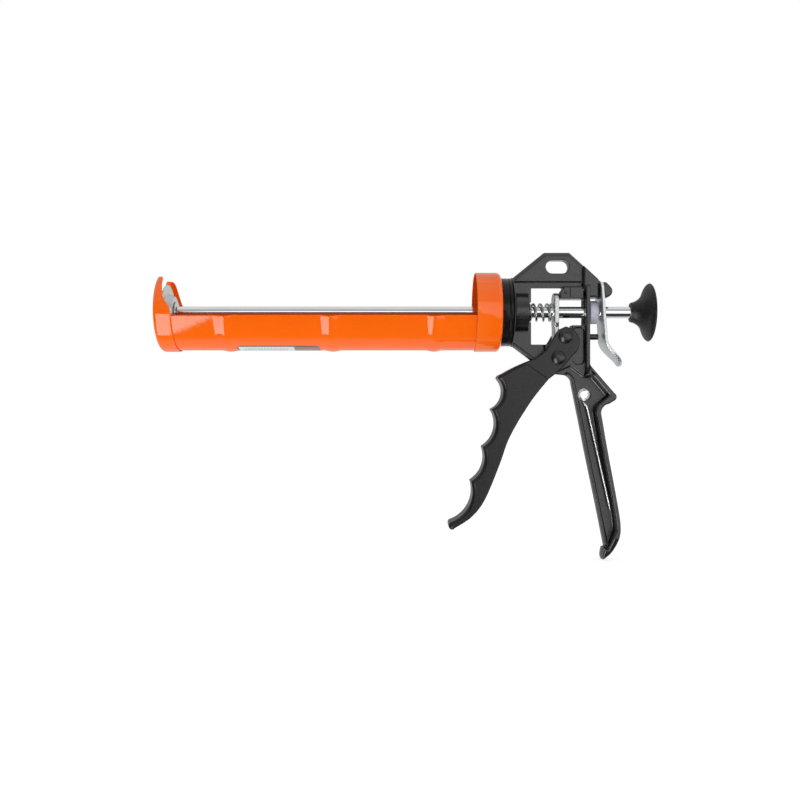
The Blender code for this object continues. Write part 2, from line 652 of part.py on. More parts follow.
def build():
    for old in list(bpy.data.objects):
        bpy.data.objects.remove(old)

    orange = (0.86, 0.13, 0.012)
    black = (0.022, 0.021, 0.020)
    steel = (0.55, 0.56, 0.58)
    tool = holder("tool", z=-AXIS_DROP)
    frame = holder("frame_axis", tool)
    barrel = holder("barrel_axis", tool)
    rod = holder("rod_axis", tool)
    trigger = holder("trigger_axis", tool, *PIVOT)
    plate = holder("plate_axis", tool)
    lever = holder("lever_axis", tool, *LEVER_PIVOT)
    wire = holder("wire_axis", tool, *WIRE_EYE)

    barrel_trough(barrel, paint("trough_paint", orange, 0.22, 0.0))
    trough_label(barrel, paint("label_film", (0.62, 0.66, 0.68), 0.35, 0.0))
    front_cap(barrel, paint("cap_paint", orange, 0.22, 0.0))
    rear_collar(barrel, paint("collar_paint", orange, 0.22, 0.0))
    swivel_ring(frame, paint("swivel_black", black, 0.4, 0.0))
    barrel_washer(frame, paint("washer_zinc", steel, 0.35, 1.0))
    barrel_nut(frame, paint("nut_zinc", steel, 0.35, 1.0))
    frame_body(frame, paint("frame_powder", black, 0.5, 0.0))
    rear_bush(frame, paint("bush_nylon", (0.6, 0.62, 0.68), 0.45, 0.0))
    release_spring(frame, paint("release_spring_zinc", steel, 0.3, 1.0))
    drive_spring(frame, paint("drive_spring_zinc", steel, 0.3, 1.0))
    pivot_rivet(frame, paint("pivot_black", black, 0.35, 0.5))
    push_rod(rod, paint("rod_chrome", (0.78, 0.79, 0.8), 0.12, 1.0))
    pusher_plate(rod, paint("pusher_zinc", steel, 0.4, 1.0))
    pusher_washer(rod, paint("pusher_washer_zinc", steel, 0.35, 1.0))
    pusher_nut(rod, paint("pusher_nut_zinc", steel, 0.35, 1.0))
    rod_knob(rod, paint("knob_plastic", (0.02, 0.02, 0.021), 0.38, 0.0))
    drive_plate(plate, paint("plate_zinc", (0.6, 0.61, 0.61), 0.4, 1.0))
    release_lever(lever, paint("lever_zinc", (0.62, 0.64, 0.65), 0.35, 1.0))
    trigger_lever(trigger, paint("trigger_powder", black, 0.42, 0.0))
    thrust_pin(trigger, paint("thrust_pin_black", black, 0.35, 0.5))
    thrust_roller(trigger, paint("roller_steel", steel, 0.35, 1.0))
    pierce_wire(wire, paint("wire_steel", (0.75, 0.75, 0.74), 0.25, 1.0))


build()
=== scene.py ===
"""Looks of the caulking gun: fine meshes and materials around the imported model.

Shapes are drawn in millimetres in the tool's own frame: x rearwards along the push rod, z up, and
x = z = 0 where the rod's axis passes under the hang slot. make() turns them into metres and lowers
them to the rod's axis in the model.
"""
import json
import math

import bpy
import numpy as np
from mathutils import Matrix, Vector


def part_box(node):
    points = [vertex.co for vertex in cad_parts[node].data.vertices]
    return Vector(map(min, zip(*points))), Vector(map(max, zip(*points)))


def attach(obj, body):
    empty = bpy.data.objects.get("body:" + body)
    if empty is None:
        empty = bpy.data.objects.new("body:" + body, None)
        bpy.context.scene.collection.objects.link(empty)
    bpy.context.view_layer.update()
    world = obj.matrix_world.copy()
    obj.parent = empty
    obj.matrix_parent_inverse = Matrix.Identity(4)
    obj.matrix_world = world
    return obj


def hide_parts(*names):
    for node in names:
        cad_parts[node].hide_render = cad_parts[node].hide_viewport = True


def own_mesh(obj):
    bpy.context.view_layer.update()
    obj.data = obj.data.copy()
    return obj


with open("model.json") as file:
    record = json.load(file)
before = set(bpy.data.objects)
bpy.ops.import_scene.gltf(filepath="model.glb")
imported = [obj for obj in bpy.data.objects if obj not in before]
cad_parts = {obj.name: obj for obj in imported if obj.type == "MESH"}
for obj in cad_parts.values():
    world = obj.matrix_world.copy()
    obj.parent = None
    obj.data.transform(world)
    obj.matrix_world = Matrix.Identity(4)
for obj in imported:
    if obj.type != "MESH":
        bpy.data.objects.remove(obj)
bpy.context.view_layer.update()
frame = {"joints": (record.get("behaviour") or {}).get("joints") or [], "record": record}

MM = 0.001
JOINTS = {joint["name"]: joint for joint in frame["joints"]}
BODY_OF = {node: body for body, nodes in frame["record"]["behaviour"]["bodies"].items() for node in nodes}
AXIS = Vector((0.0, 0.0, JOINTS["barrel_spin"]["pos_m"][2]))
COARSE = 1.0


def local(point):
    """A model point in metres, as (x, z) in the tool's frame in millimetres."""
    return (point[0] - AXIS.x) / MM, (point[2] - AXIS.z) / MM


def span(node):
    """A CAD node's lowest and highest corners, in the tool's frame in millimetres."""
    low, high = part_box(node)
    return (low - AXIS) / MM, (high - AXIS) / MM


PIVOT = local(JOINTS["trigger_pivot"]["pos_m"])
WIRE_EYE = local(JOINTS["pierce_wire_pivot"]["pos_m"])
THRUST = tuple((a + b) / 2 for a, b in zip(*(corner.xz for corner in span("thrust_pin"))))
BARREL_R = span("rear_collar")[1].z
CAP_FRONT, CAP_REAR = (corner.x for corner in span("front_cap"))
COLLAR_FRONT, COLLAR_REAR = (corner.x for corner in span("rear_collar"))
SHEET = 0.8
TROUGH_R = BARREL_R - SHEET - 0.25
TROUGH_EDGE = -4.6
BEADS = (-227.9, -156.5, -85.5)
ROD_R = span("push_rod")[1].y
BEAD_HALF, BEAD_RISE = 7.0, 0.9
LABEL_HALF = math.radians(25)
CORNER = 3.0                # outside radius where the cap's and the collar's end walls meet the barrel
NOZZLE_HALF = 8.0
EAR_TOP = 23.4
RUNNING_GAP = 0.25          # round the rod, wherever it passes through something
STUD_R = 3.0
STUD_PITCH = 1.0
STUD_THREAD = 0.22          # half a thread's depth on the stud
BOSS_R = 12.7
SPIGOT_R = 11.2
BOSS_REAR = -20.4
CHEEK = (6.4, 9.5)          # the trigger's cheeks, inner and outer face
GRIP = 10.5
# half thicknesses of the casting
WEB, HOUSE, LUG, SHOULDER, WALL_HALF, PALM = 2.2, 4.0, 6.0, 8.0, 8.6, 10.5
PEG_R, PEG_END, PEG_Z = 2.1, 29.2, -17.1


# ---------- lines: lists of points in a plane ----------

def arc(start, end, sagitta, steps=8):
    """The points after start, up to end, on the arc that bulges by sagitta to the left of the way."""
    start, end = Vector(start), Vector(end)
    half = (end - start).length / 2
    left = Vector((start.y - end.y, end.x - start.x)).normalized()
    radius = (half ** 2 + sagitta ** 2) / (2 * sagitta)
    centre = (start + end) / 2 + left * (sagitta - radius)
    turn = -2 * math.asin(max(-1.0, min(1.0, half / radius)))
    arm = start - centre
    points = []
    for i in range(1, steps + 1):
        c, s = math.cos(turn * i / steps), math.sin(turn * i / steps)
        points.append((centre.x + arm.x * c - arm.y * s, centre.y + arm.x * s + arm.y * c))
    return points


def spline(points, steps=6):
    """A Catmull-Rom curve through the points, in two or three dimensions."""
    rows = np.array([points[0], *points, points[-1]], float)
    t = np.arange(1, steps + 1)[:, None] / steps
    curve = [tuple(points[0])]
    for p0, p1, p2, p3 in zip(rows, rows[1:], rows[2:], rows[3:]):
        bend = (2 * p1 + (p2 - p0) * t + (2 * p0 - 5 * p1 + 4 * p2 - p3) * t ** 2
                + (3 * p1 - p0 - 3 * p2 + p3) * t ** 3) / 2
        curve += [tuple(point) for point in bend]
    return curve


def eased(points, radius, closed=True, steps=3):
    """The same line with each corner rounded."""
    points = [Vector(p) for p in points]
    count = len(points)
    out = []
    for i, point in enumerate(points):
        if not closed and i in (0, count - 1):
            out.append(tuple(point))
            continue
        back, ahead = points[i - 1] - point, points[(i + 1) % count] - point
        reach = min(radius, back.length * 0.45, ahead.length * 0.45)
        start, end = point + back.normalized() * reach, point + ahead.normalized() * reach
        for k in range(steps + 1):
            t = k / steps
            out.append(tuple(start * (1 - t) ** 2 + point * 2 * t * (1 - t) + end * t ** 2))
    return out


def strip(points, width):
    """The closed outline of a band of even width to the left of an open line."""
    line = np.array(points, float)
    along = np.gradient(line, axis=0)
    along /= np.linalg.norm(along, axis=1)[:, None]
    inner = line + np.column_stack([-along[:, 1], along[:, 0]]) * width
    return [tuple(p) for p in line] + [tuple(p) for p in inner[::-1]]


# ---------- meshes ----------

def make(name, vertices, faces, node, material, smooth_angle=None):
    """An object from points in the tool's frame, standing for one CAD node."""
    mesh = bpy.data.meshes.new(name)
    mesh.from_pydata((np.asarray(vertices, float) * MM + np.array(AXIS)).tolist(), [], faces)
    mesh.validate()
    mesh.shade_smooth()
    if smooth_angle:
        mesh.set_sharp_from_angle(angle=math.radians(smooth_angle))
    mesh.materials.append(material)
    obj = bpy.data.objects.new(name, mesh)
    bpy.context.scene.collection.objects.link(obj)
    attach(obj, BODY_OF[node])
    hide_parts(node)
    return obj


def loft(rings, looped=False, capped=True):
    """Points and faces skinned over equal rings, in order so that the faces look outwards."""
    width = len(rings[0])
    vertices = [point for row in rings for point in row]
    pairs = [(r, r + 1) for r in range(len(rings) - 1)] + ([(len(rings) - 1, 0)] if looped else [])
    faces = []
    for a, b in pairs:
        for i in range(width):
            j = (i + 1) % width
            faces.append((a * width + i, b * width + i, b * width + j, a * width + j))
    if capped and not looped:
        faces.append(tuple(range(width)))
        faces.append(tuple(reversed(range((len(rings) - 1) * width, len(rings) * width))))
    return vertices, faces


def turned(profile, closed=True, along="X", centre=(0.0, 0.0), sides=96):
    """A shape of revolution from (distance, radius) points: a ring when closed, else a solid bar."""
    angles = [2 * math.pi * i / sides for i in range(sides)]

    def point(d, r, a):
        if along == "Y":
            return (centre[0] + r * math.sin(a), d, centre[1] + r * math.cos(a))
        return (d, centre[0] + r * math.sin(a), centre[1] + r * math.cos(a))

    if closed:
        return loft([[point(d, r, a) for d, r in profile] for a in angles], looped=True)
    return loft([[point(d, r, a) for a in angles] for d, r in profile])


def tube(path, radius, sides=12):
    """A wire along a path, with rounded ends; radius is one number or one for each point."""
    path = np.array(path, float)
    radii = np.full(len(path), radius) if np.isscalar(radius) else np.array(radius, float)
    ahead = path[1] - path[0]
    behind = path[-1] - path[-2]
    ahead, behind = ahead / np.linalg.norm(ahead), behind / np.linalg.norm(behind)
    cap = [0.0, 0.3, 0.8]
    head = [path[0] + ahead * radii[0] * (t - 0.8) for t in cap[:-1]]
    tail = [path[-1] + behind * radii[-1] * (0.8 - t) for t in cap[-2::-1]]
    radii = np.concatenate([[radii[0] * 0.35, radii[0] * 0.8], radii, [radii[-1] * 0.8, radii[-1] * 0.35]])
    path = np.vstack([head, path, tail])
    side = None
    rings = []
    for i, here in enumerate(path):
        tangent = path[min(i + 1, len(path) - 1)] - path[max(i - 1, 0)]
        tangent /= np.linalg.norm(tangent)
        if side is None:
            side = np.cross(tangent, (0.31, 0.95, 0.17))
        side = side - tangent * side.dot(tangent)
        side /= np.linalg.norm(side)
        other = np.cross(tangent, side)
        rings.append([here + (side * math.cos(a) - other * math.sin(a)) * radii[i]
                      for a in (2 * math.pi * k / sides for k in range(sides))])
    return loft(rings)


def coil(low, high, mean_radius, wire, turns, dead, steps=36):
    """The centre line and tube of a compression spring about X, its end turns wound nearly shut."""
    low, high = low + wire, high - wire
    dead_pitch = wire * 2.15
    open_pitch = (high - low - 2 * dead * dead_pitch) / (turns - 2 * dead)
    turn = np.arange(int(turns * steps) + 1) / steps
    x = low + np.minimum(turn, dead) * dead_pitch
    x += np.clip(turn - dead, 0, turns - 2 * dead) * open_pitch
    x += np.maximum(turn - (turns - dead), 0) * dead_pitch
    angle = 2 * math.pi * (turn - 0.1)
    return tube(np.column_stack([x, -mean_radius * np.sin(angle), mean_radius * np.cos(angle)]), wire)


# ---------- solids as distance fields on a grid ----------

class Block:
    """A box of grid points; x, y and z are its coordinates, shaped to combine into one array."""

    def __init__(self, low, high, step):
        self.low, self.step = np.array(low, float), step * COARSE
        axes = [np.arange(a, b + self.step, self.step) for a, b in zip(low, high)]
        self.x = axes[0][:, None, None].astype(np.float32)
        self.y = axes[1][None, :, None].astype(np.float32)
        self.z = axes[2][None, None, :].astype(np.float32)

    def drawn(self, outline, across="Y", edges=None):
        """Signed distance to a closed outline seen along Y, as (x, z), or along X, as (y, z).

        With edges, a range of the outline's sides, only those sides count for the distance.
        """
        a = self.x if across == "Y" else self.y
        b = self.z
        points = np.array(outline, float)
        nearest = np.float32(1e9)
        inside = False
        for i, (p, q) in enumerate(zip(points, np.roll(points, -1, axis=0))):
            way = q - p
            u, v = a - p[0], b - p[1]
            if edges is None or i in edges:
                t = np.clip((u * way[0] + v * way[1]) / max(way @ way, 1e-9), 0, 1)
                nearest = np.minimum(nearest, (u - way[0] * t) ** 2 + (v - way[1] * t) ** 2)
            if p[1] != q[1]:
                inside = inside ^ (((p[1] > b) != (q[1] > b)) & (u < way[0] * v / way[1]))
        return np.where(inside, -1, 1) * np.sqrt(nearest)

    def plate(self, outline, half, edge=0.6):
        """An outline seen along Y, given a thickness, with rounded edges."""
        return both(self.drawn(outline), np.abs(self.y) - half, edge)

    def rod(self, low, high, radius, y=0.0, z=0.0, edge=0.4):
        """A round bar along X."""
        round_wall = np.sqrt((self.y - y) ** 2 + (self.z - z) ** 2) - radius
        return both(round_wall, np.maximum(low - self.x, self.x - high), edge)

    def pin(self, centre, radius):
        """An endless round bar along Y."""
        return np.sqrt((self.x - centre[0]) ** 2 + (self.z - centre[1]) ** 2) - radius


def both(a, b, edge=0.0):
    """Where two solids overlap, with a rounded edge."""
    if edge == 0:
        return np.maximum(a, b)
    u, v = a + edge, b + edge
    return np.minimum(np.maximum(u, v), 0) + np.hypot(np.maximum(u, 0), np.maximum(v, 0)) - edge


def joined(a, b, fillet=0.0):
    """Two solids as one, with a fillet between them."""
    if fillet == 0:
        return np.minimum(a, b)
    near = np.maximum(fillet - np.abs(a - b), 0)
    return np.minimum(a, b) - near ** 2 / (4 * fillet)


def without(a, b, edge=0.4):
    """Solid a with solid b cut away."""
    return both(a, -b, edge)


def skin(block, field):
    """The surface of a field: a vertex in each cell that it passes through, a quad round each grid edge."""
    field = np.ascontiguousarray(field, np.float32)
    inside = field < 0
    corners = [(i, j, k) for i in (0, 1) for j in (0, 1) for k in (0, 1)]
    size = np.array(field.shape) - 1
    count = np.zeros(size, np.int8)
    for i, j, k in corners:
        count += inside[i:i + size[0], j:j + size[1], k:k + size[2]]
    mixed = (count > 0) & (count < 8)
    index = np.full(size, -1, np.int64)
    cells = np.argwhere(mixed)
    index[mixed] = np.arange(len(cells))
    total, crossings = np.zeros((len(cells), 3)), np.zeros(len(cells))
    for start in corners:
        for axis in range(3):
            if start[axis]:
                continue
            end = list(start)
            end[axis] = 1
            va, vb = field[tuple((cells + start).T)], field[tuple((cells + end).T)]
            cross = (va < 0) != (vb < 0)
            t = np.where(cross, va / np.where(cross, va - vb, 1), 0)
            place = np.tile(np.array(start, float), (len(cells), 1))
            place[:, axis] = t
            total += place * cross[:, None]
            crossings += cross
    vertices = block.low + (cells + total / crossings[:, None]) * block.step
    faces = []
    for axis in range(3):
        u, v = (axis + 1) % 3, (axis + 2) % 3
        first, second = [slice(None)] * 3, [slice(None)] * 3
        first[axis], second[axis] = slice(0, -1), slice(1, None)
        entering, leaving = inside[tuple(first)], inside[tuple(second)]
        for sign, flipped in ((entering & ~leaving, False), (leaving & ~entering, True)):
            edges = np.argwhere(sign)
            edges = edges[(edges[:, u] > 0) & (edges[:, v] > 0)]
            edges = edges[(edges[:, u] < size[u]) & (edges[:, v] < size[v])]
            around = []
            for du, dv in ((1, 1), (0, 1), (0, 0), (1, 0)):
                cell = edges.copy()
                cell[:, u] -= du
                cell[:, v] -= dv
                around.append(index[tuple(cell.T)])
            quads = np.column_stack(around)
            faces.append(quads[:, ::-1] if flipped else quads)
    return vertices, np.vstack(faces).tolist()


# ---------- materials ----------

NOISE_SPAN = (0.3, 0.7)
MIX_UNDER, MIX_OVER = 6, 7      # a Mix node's two colour inputs; its colour output is the third


def add(material, kind, *links, **settings):
    """A shader node; links are (input, socket or value), settings are the node's own properties."""
    tree = material.node_tree
    made = tree.nodes.new(kind)
    for key, value in settings.items():
        setattr(made, key, value)
    for name, value in links:
        if isinstance(value, bpy.types.NodeSocket):
            tree.links.new(value, made.inputs[name])
        else:
            made.inputs[name].default_value = value
    return made


def finish(name, roughness, metallic=0.0, **values):
    """A Principled material with object coordinates in metres, and its shader's plain values."""
    material = bpy.data.materials.new(name)
    material.use_nodes = True
    shader = material.node_tree.nodes["Principled BSDF"]
    shader.inputs["Roughness"].default_value = roughness
    shader.inputs["Metallic"].default_value = metallic
    for key, value in values.items():
        shader.inputs[key.replace("_", " ")].default_value = value
    coordinates = add(material, "ShaderNodeTexCoord").outputs["Object"]
    return material, shader, coordinates


def dressed(material, shader, **fields):
    """The material, once each field, an output socket, leads into the shader's input of that name."""
    for name, socket in fields.items():
        material.node_tree.links.new(socket, shader.inputs[name.replace("_", " ")])
    return material


def noise(material, coordinates, size_mm, detail=3.0, stretch=None):
    """Fractal noise with grains of about size_mm, drawn out by stretch along each axis."""
    if stretch:
        drawn_out = add(material, "ShaderNodeMapping", ("Vector", coordinates), ("Scale", stretch))
        coordinates = drawn_out.outputs["Vector"]
    return add(material, "ShaderNodeTexNoise", ("Vector", coordinates), ("Scale", 1 / (size_mm * MM)),
               ("Detail", detail), ("Roughness", 0.55)).outputs["Fac"]


def colour_between(material, factor, dark, light):
    """Colour over the stretch of the factor that a noise mostly fills."""
    blend = add(material, "ShaderNodeValToRGB", ("Fac", factor))
    for element, place, colour in zip(blend.color_ramp.elements, NOISE_SPAN, (dark, light)):
        element.position = place
        element.color = (*colour, 1)
    return blend.outputs["Color"]


def value_between(material, factor, low, high):
    """A number over the same stretch."""
    return add(material, "ShaderNodeMapRange", ("Value", factor), ("From Min", NOISE_SPAN[0]),
               ("From Max", NOISE_SPAN[1]), ("To Min", low), ("To Max", high)).outputs["Result"]


def bump(material, height, depth_mm, strength=1.0, normal=None):
    links = [("Height", height), ("Distance", depth_mm * MM), ("Strength", strength)]
    if normal:
        links.append(("Normal", normal))
    return add(material, "ShaderNodeBump", *links).outputs["Normal"]


def painted(material, share, under, over):
    """A plain colour laid over another colour, or over a socket's, by a share from 0 to 1."""
    if not isinstance(under, bpy.types.NodeSocket):
        under = (*under, 1)
    mixed = add(material, "ShaderNodeMix", ("Factor", share), (MIX_UNDER, under), (MIX_OVER, (*over, 1)),
                data_type="RGBA")
    return mixed.outputs[2]


def edge_wear(material, colour, worn):
    """Colour that turns half way to worn along sharp convex edges."""
    pointy = add(material, "ShaderNodeNewGeometry").outputs["Pointiness"]
    share = add(material, "ShaderNodeMapRange", ("Value", pointy), ("From Min", 0.53), ("From Max", 0.62),
                ("To Min", 0.0), ("To Max", 0.5)).outputs["Result"]
    return painted(material, share, colour, worn)


def orange_paint(name):
    """Gloss stove enamel: all its shine is in the clear skin, which has a faint orange peel."""
    material, shader, at = finish(name, 0.45, Coat_Weight=1.0, Coat_Roughness=0.04, Specular_IOR_Level=0.0)
    colour = colour_between(material, noise(material, at, 30), (0.82, 0.116, 0.0022), (0.87, 0.125, 0.0026))
    peel = bump(material, noise(material, at, 2.6, 1.0), 0.006)
    return dressed(material, shader, Base_Color=edge_wear(material, colour, (0.9, 0.24, 0.05)),
                   Roughness=value_between(material, noise(material, at, 6), 0.4, 0.5),
                   Normal=peel, Coat_Normal=peel)


def black_coat(name, tone, roughness, grain_mm, depth_mm, specular):
    """Near-black coating that shows mostly by its shine, with fine grain on broad, soft unevenness."""
    material, shader, at = finish(name, roughness, Specular_IOR_Level=specular)
    colour = colour_between(material, noise(material, at, 9), (tone * 0.85,) * 3, (tone * 1.2,) * 3)
    shine = value_between(material, noise(material, at, 1.2), roughness - 0.04, roughness + 0.05)
    broad = bump(material, noise(material, at, 5.0, 2.0), 0.03, 0.4)
    fine = noise(material, at, grain_mm, 2.0)
    return dressed(material, shader, Base_Color=edge_wear(material, colour, (tone + 0.03,) * 3),
                   Roughness=shine, Normal=bump(material, fine, depth_mm, 0.6, broad))


def powder_coat(name, specular=0.75):
    """Satin powder coat over a die casting."""
    return black_coat(name, 0.0065, 0.3, 0.45, 0.012, specular)


def black_plastic(name, roughness, specular):
    """Moulded plastic with a faint flow texture."""
    return black_coat(name, 0.006, roughness, 1.6, 0.01, specular)


def plated(name, tone=0.6, tint=(1.0, 1.0, 1.0), roughness=0.3):
    """Zinc plating, faintly clouded."""
    material, shader, at = finish(name, roughness, 1.0)
    dark, bright = (tuple(tone * share * c for c in tint) for share in (0.93, 1.05))
    shine = value_between(material, noise(material, at, 0.8), roughness - 0.06, roughness + 0.08)
    return dressed(material, shader, Roughness=shine,
                   Base_Color=colour_between(material, noise(material, at, 3.5, 4.0), dark, bright),
                   Normal=bump(material, noise(material, at, 1.2, 2.0), 0.003, 0.5))


def chrome(name, roughness=0.1):
    """Drawn and plated bar: fine lines along the rod."""
    material, shader, at = finish(name, roughness, 1.0)
    lines = noise(material, at, 0.6, 2.0, (0.03, 1.0, 1.0))
    return dressed(material, shader,
                   Base_Color=colour_between(material, lines, (0.74, 0.75, 0.77), (0.86, 0.87, 0.88)),
                   Roughness=value_between(material, lines, roughness - 0.03, roughness + 0.04),
                   Normal=bump(material, lines, 0.002, 0.4))


def nylon(name):
    """Natural nylon: milky, a little light coming through."""
    material, shader, at = finish(name, 0.5, Subsurface_Weight=0.2, Subsurface_Scale=0.001,
                                  Subsurface_Radius=(1.0, 1.0, 1.0))
    milk = colour_between(material, noise(material, at, 4), (0.40, 0.40, 0.49), (0.46, 0.46, 0.55))
    return dressed(material, shader, Base_Color=milk,
                   Normal=bump(material, noise(material, at, 1.0), 0.008, 0.4))


def label_film(name, low, high):
    """Film with a dark upper line; a pale panel printed with blank dashes, then a plain darker panel."""
    material, shader, at = finish(name, 0.35, Coat_Weight=0.6, Coat_Roughness=0.08)

    def maths(operation, a, b=0.0):
        return add(material, "ShaderNodeMath", (0, a), (1, b), operation=operation).outputs[0]

    split = add(material, "ShaderNodeSeparateXYZ", ("Vector", at))
    x, y, z = (maths("DIVIDE", split.outputs[k], MM) for k in "XYZ")
    below_axis = maths("MULTIPLY", maths("SUBTRACT", z, AXIS.z / MM), -1.0)
    around = maths("ARCTAN2", maths("ABSOLUTE", y), below_axis)
    from_side = maths("MULTIPLY", maths("SUBTRACT", LABEL_HALF, around), TROUGH_R)
    panel_end = low + 0.69 * (high - low)
    in_panel = maths("LESS_THAN", x, panel_end)
    from_end = maths("MINIMUM", maths("SUBTRACT", x, low + 4.5), maths("SUBTRACT", panel_end - 5.0, x))
    dashes = maths("GREATER_THAN", maths("SINE", maths("MULTIPLY", x, 2.9)), -0.35)
    row_wave = maths("SINE", maths("MULTIPLY", maths("SUBTRACT", from_side, 3.6), 2.6))
    printed = maths("MULTIPLY", dashes, maths("GREATER_THAN", row_wave, 0.2))
    printed = maths("MULTIPLY", printed, maths("GREATER_THAN", from_end, 0.0))
    printed = maths("MULTIPLY", printed, maths("GREATER_THAN", from_side, 3.0))
    on_line = maths("LESS_THAN", maths("MINIMUM", from_side, maths("SUBTRACT", x, low)), 1.0)
    colour = painted(material, in_panel, (0.20, 0.12, 0.11), (0.55, 0.62, 0.68))
    colour = painted(material, maths("MULTIPLY", printed, 0.6), colour, (0.05, 0.07, 0.1))
    colour = painted(material, on_line, colour, (0.07, 0.045, 0.045))
    return dressed(material, shader, Base_Color=colour,
                   Roughness=value_between(material, noise(material, at, 5), 0.3, 0.4),
                   Normal=bump(material, noise(material, at, 3.0), 0.008, 0.5))


# ---------- barrel ----------

def bead_bell(x):
    """0 away from the beads, 1 on a bead's crest."""
    nearest = min(abs(x - bead) for bead in BEADS)
    return 0.5 + 0.5 * math.cos(math.pi * min(nearest / BEAD_HALF, 1.0))


def c_section(x, inner, outer, edge_z, steps=64):
    """A C-shaped section open at the top, its two edges rounded."""
    half = math.pi - math.acos(edge_z / outer)
    angles = [math.pi + half * (2 * i / steps - 1) for i in range(steps + 1)]
    middle, radius = (inner + outer) / 2, (outer - inner) / 2
    ring = []
    for face, side, sign in ((outer, angles, 1), (inner, angles[::-1], -1)):
        ring += [(face, a) for a in side]
        ring += [(middle + sign * radius * math.cos(t), side[-1] + sign * radius * math.sin(t) / middle)
                 for t in (math.pi * k / 5 for k in range(1, 5))]
    return [(x, r * math.sin(a), r * math.cos(a)) for r, a in ring]


def barrel_trough():
    """The open sheet, its edges dipping a little where a bead lifts it."""
    low, high = (corner.x for corner in span("barrel_trough"))
    plain = [x for x in np.linspace(low, high, 32) if bead_bell(x) == 0]
    beaded = [bead + BEAD_HALF * k / 10 for bead in BEADS for k in range(-10, 11)]
    rings = []
    for x in sorted(plain + beaded):
        rise = BEAD_RISE * bead_bell(x)
        outer = TROUGH_R + rise
        rings.append(c_section(x, TROUGH_R - SHEET + rise, outer, TROUGH_EDGE - 0.6 * rise, steps=120))
    make("trough_sheet", *loft(rings), "barrel_trough", orange_paint("trough_enamel"))


def trough_label():
    """A film with rounded corners, laid round the underside."""
    low, high = (corner.x for corner in span("trough_label"))
    corner, steps = 1.5, 40
    inner = TROUGH_R + 0.02
    outer = inner + 0.12
    rings = []
    for x in np.linspace(low, high, 24):
        inset = max(0.0, corner - min(x - low, high - x)) / corner
        half_here = LABEL_HALF - corner * (1 - math.sqrt(1 - inset ** 2)) / inner
        angles = [math.pi + half_here * (2 * i / steps - 1) for i in range(steps + 1)]
        ring = [(x, outer * math.sin(a), outer * math.cos(a)) for a in angles]
        rings.append(ring + [(x, inner * math.sin(a), inner * math.cos(a)) for a in reversed(angles)])
    make("trough_film", *loft(rings), "trough_label", label_film("film", low, high), 30)


def front_cap():
    """A pressed cup with a nozzle slot and two ears, its flange deep below and shallow beside the slot."""
    block = Block((CAP_FRONT - 1, -29, -29), (CAP_REAR + 1, 29, 25), 0.3)
    radius = np.sqrt(block.y ** 2 + block.z ** 2)
    solid = both(radius - BARREL_R, CAP_FRONT - block.x, CORNER)
    sheet = both(solid, -solid - SHEET, 0.2)
    sheet = both(sheet, block.x - CAP_REAR, 0.35)
    tip = 4.0
    slot = [(NOZZLE_HALF, 0.0), (NOZZLE_HALF, EAR_TOP - tip)]
    slot += arc(slot[-1], (NOZZLE_HALF + tip, EAR_TOP), 1.17)
    slot += [(BARREL_R + 2, EAR_TOP), (BARREL_R + 2, BARREL_R + 2)]
    slot += [(-y, z) for y, z in reversed(slot)]
    slot += arc(slot[-1], (NOZZLE_HALF, 0.0), -NOZZLE_HALF, steps=16)[:-1]
    sheet = without(sheet, block.drawn(slot, across="X"), 0.35)
    ears = [(-262, 40), (-273.8, 40)]
    ears += spline([(-273.8, 23.7), (-272.1, 23.1), (-271.0, 21.5), (-270.4, 17), (-269.6, 12.5), (-268.5, 8),
                    (-266.9, 5.0), (-265.3, 3.2), (-263.9, 0.2), (-263.3, -2.5), (-263.1, -4.5)], steps=4)
    ears += [(-262, -4.5)]
    sheet = without(sheet, block.drawn(ears), 0.35)
    make("cap_pressing", *skin(block, sheet), "front_cap", orange_paint("cap_enamel"))


def bent_corner(x, face, sign, outer, steps=8):
    """The rounded corner from an end wall at x to a wall at the outer radius."""
    return [(x + sign * face * (1 - math.cos(a)), outer - face + face * math.sin(a))
            for a in (math.pi / 2 * i / steps for i in range(steps + 1))]


def rear_collar():
    """A pressed cup with its front edge rounded and a hole for the spigot."""
    inner_r, ease = BARREL_R - SHEET, 0.3
    hole = SPIGOT_R + 0.3
    profile = [(COLLAR_REAR, hole + 0.2)] + bent_corner(COLLAR_REAR, CORNER, -1, BARREL_R)
    profile += [(COLLAR_FRONT + ease, BARREL_R), (COLLAR_FRONT, BARREL_R - ease)]
    profile += [(COLLAR_FRONT, inner_r + ease), (COLLAR_FRONT + ease, inner_r)]
    profile += bent_corner(COLLAR_REAR - SHEET, CORNER - SHEET, -1, inner_r)[::-1]
    profile += [(COLLAR_REAR - SHEET, hole + 0.2), (COLLAR_REAR - SHEET / 2, hole)]
    make("collar_pressing", *turned(profile, sides=128), "rear_collar", orange_paint("collar_enamel"), 35)


# ---------- swivel ----------

def swivel_ring():
    """A smooth black collar with one fine groove round it, nearer its rear edge."""
    low, high = span("swivel_ring")
    bore, outer = SPIGOT_R + 0.3, high.z
    groove, width, depth = low.x + 4.5, 0.7, 0.8
    profile = [(high.x, bore), (low.x, bore), (low.x, outer)]
    profile += [(groove, outer), (groove, outer - depth), (groove + width, outer - depth)]
    profile += [(groove + width, outer), (high.x, outer)]
    make("swivel_collar", *turned(eased(profile, 0.3), sides=128), "swivel_ring",
         black_plastic("swivel_plastic", 0.22, 0.25), 35)


def plain_ring(name, node, bore, material, ease=0.25):
    """A washer."""
    low, high = span(node)
    profile = [(high.x, bore), (low.x, bore), (low.x, high.z), (high.x, high.z)]
    make(name, *turned(eased(profile, ease)), node, material, 35)


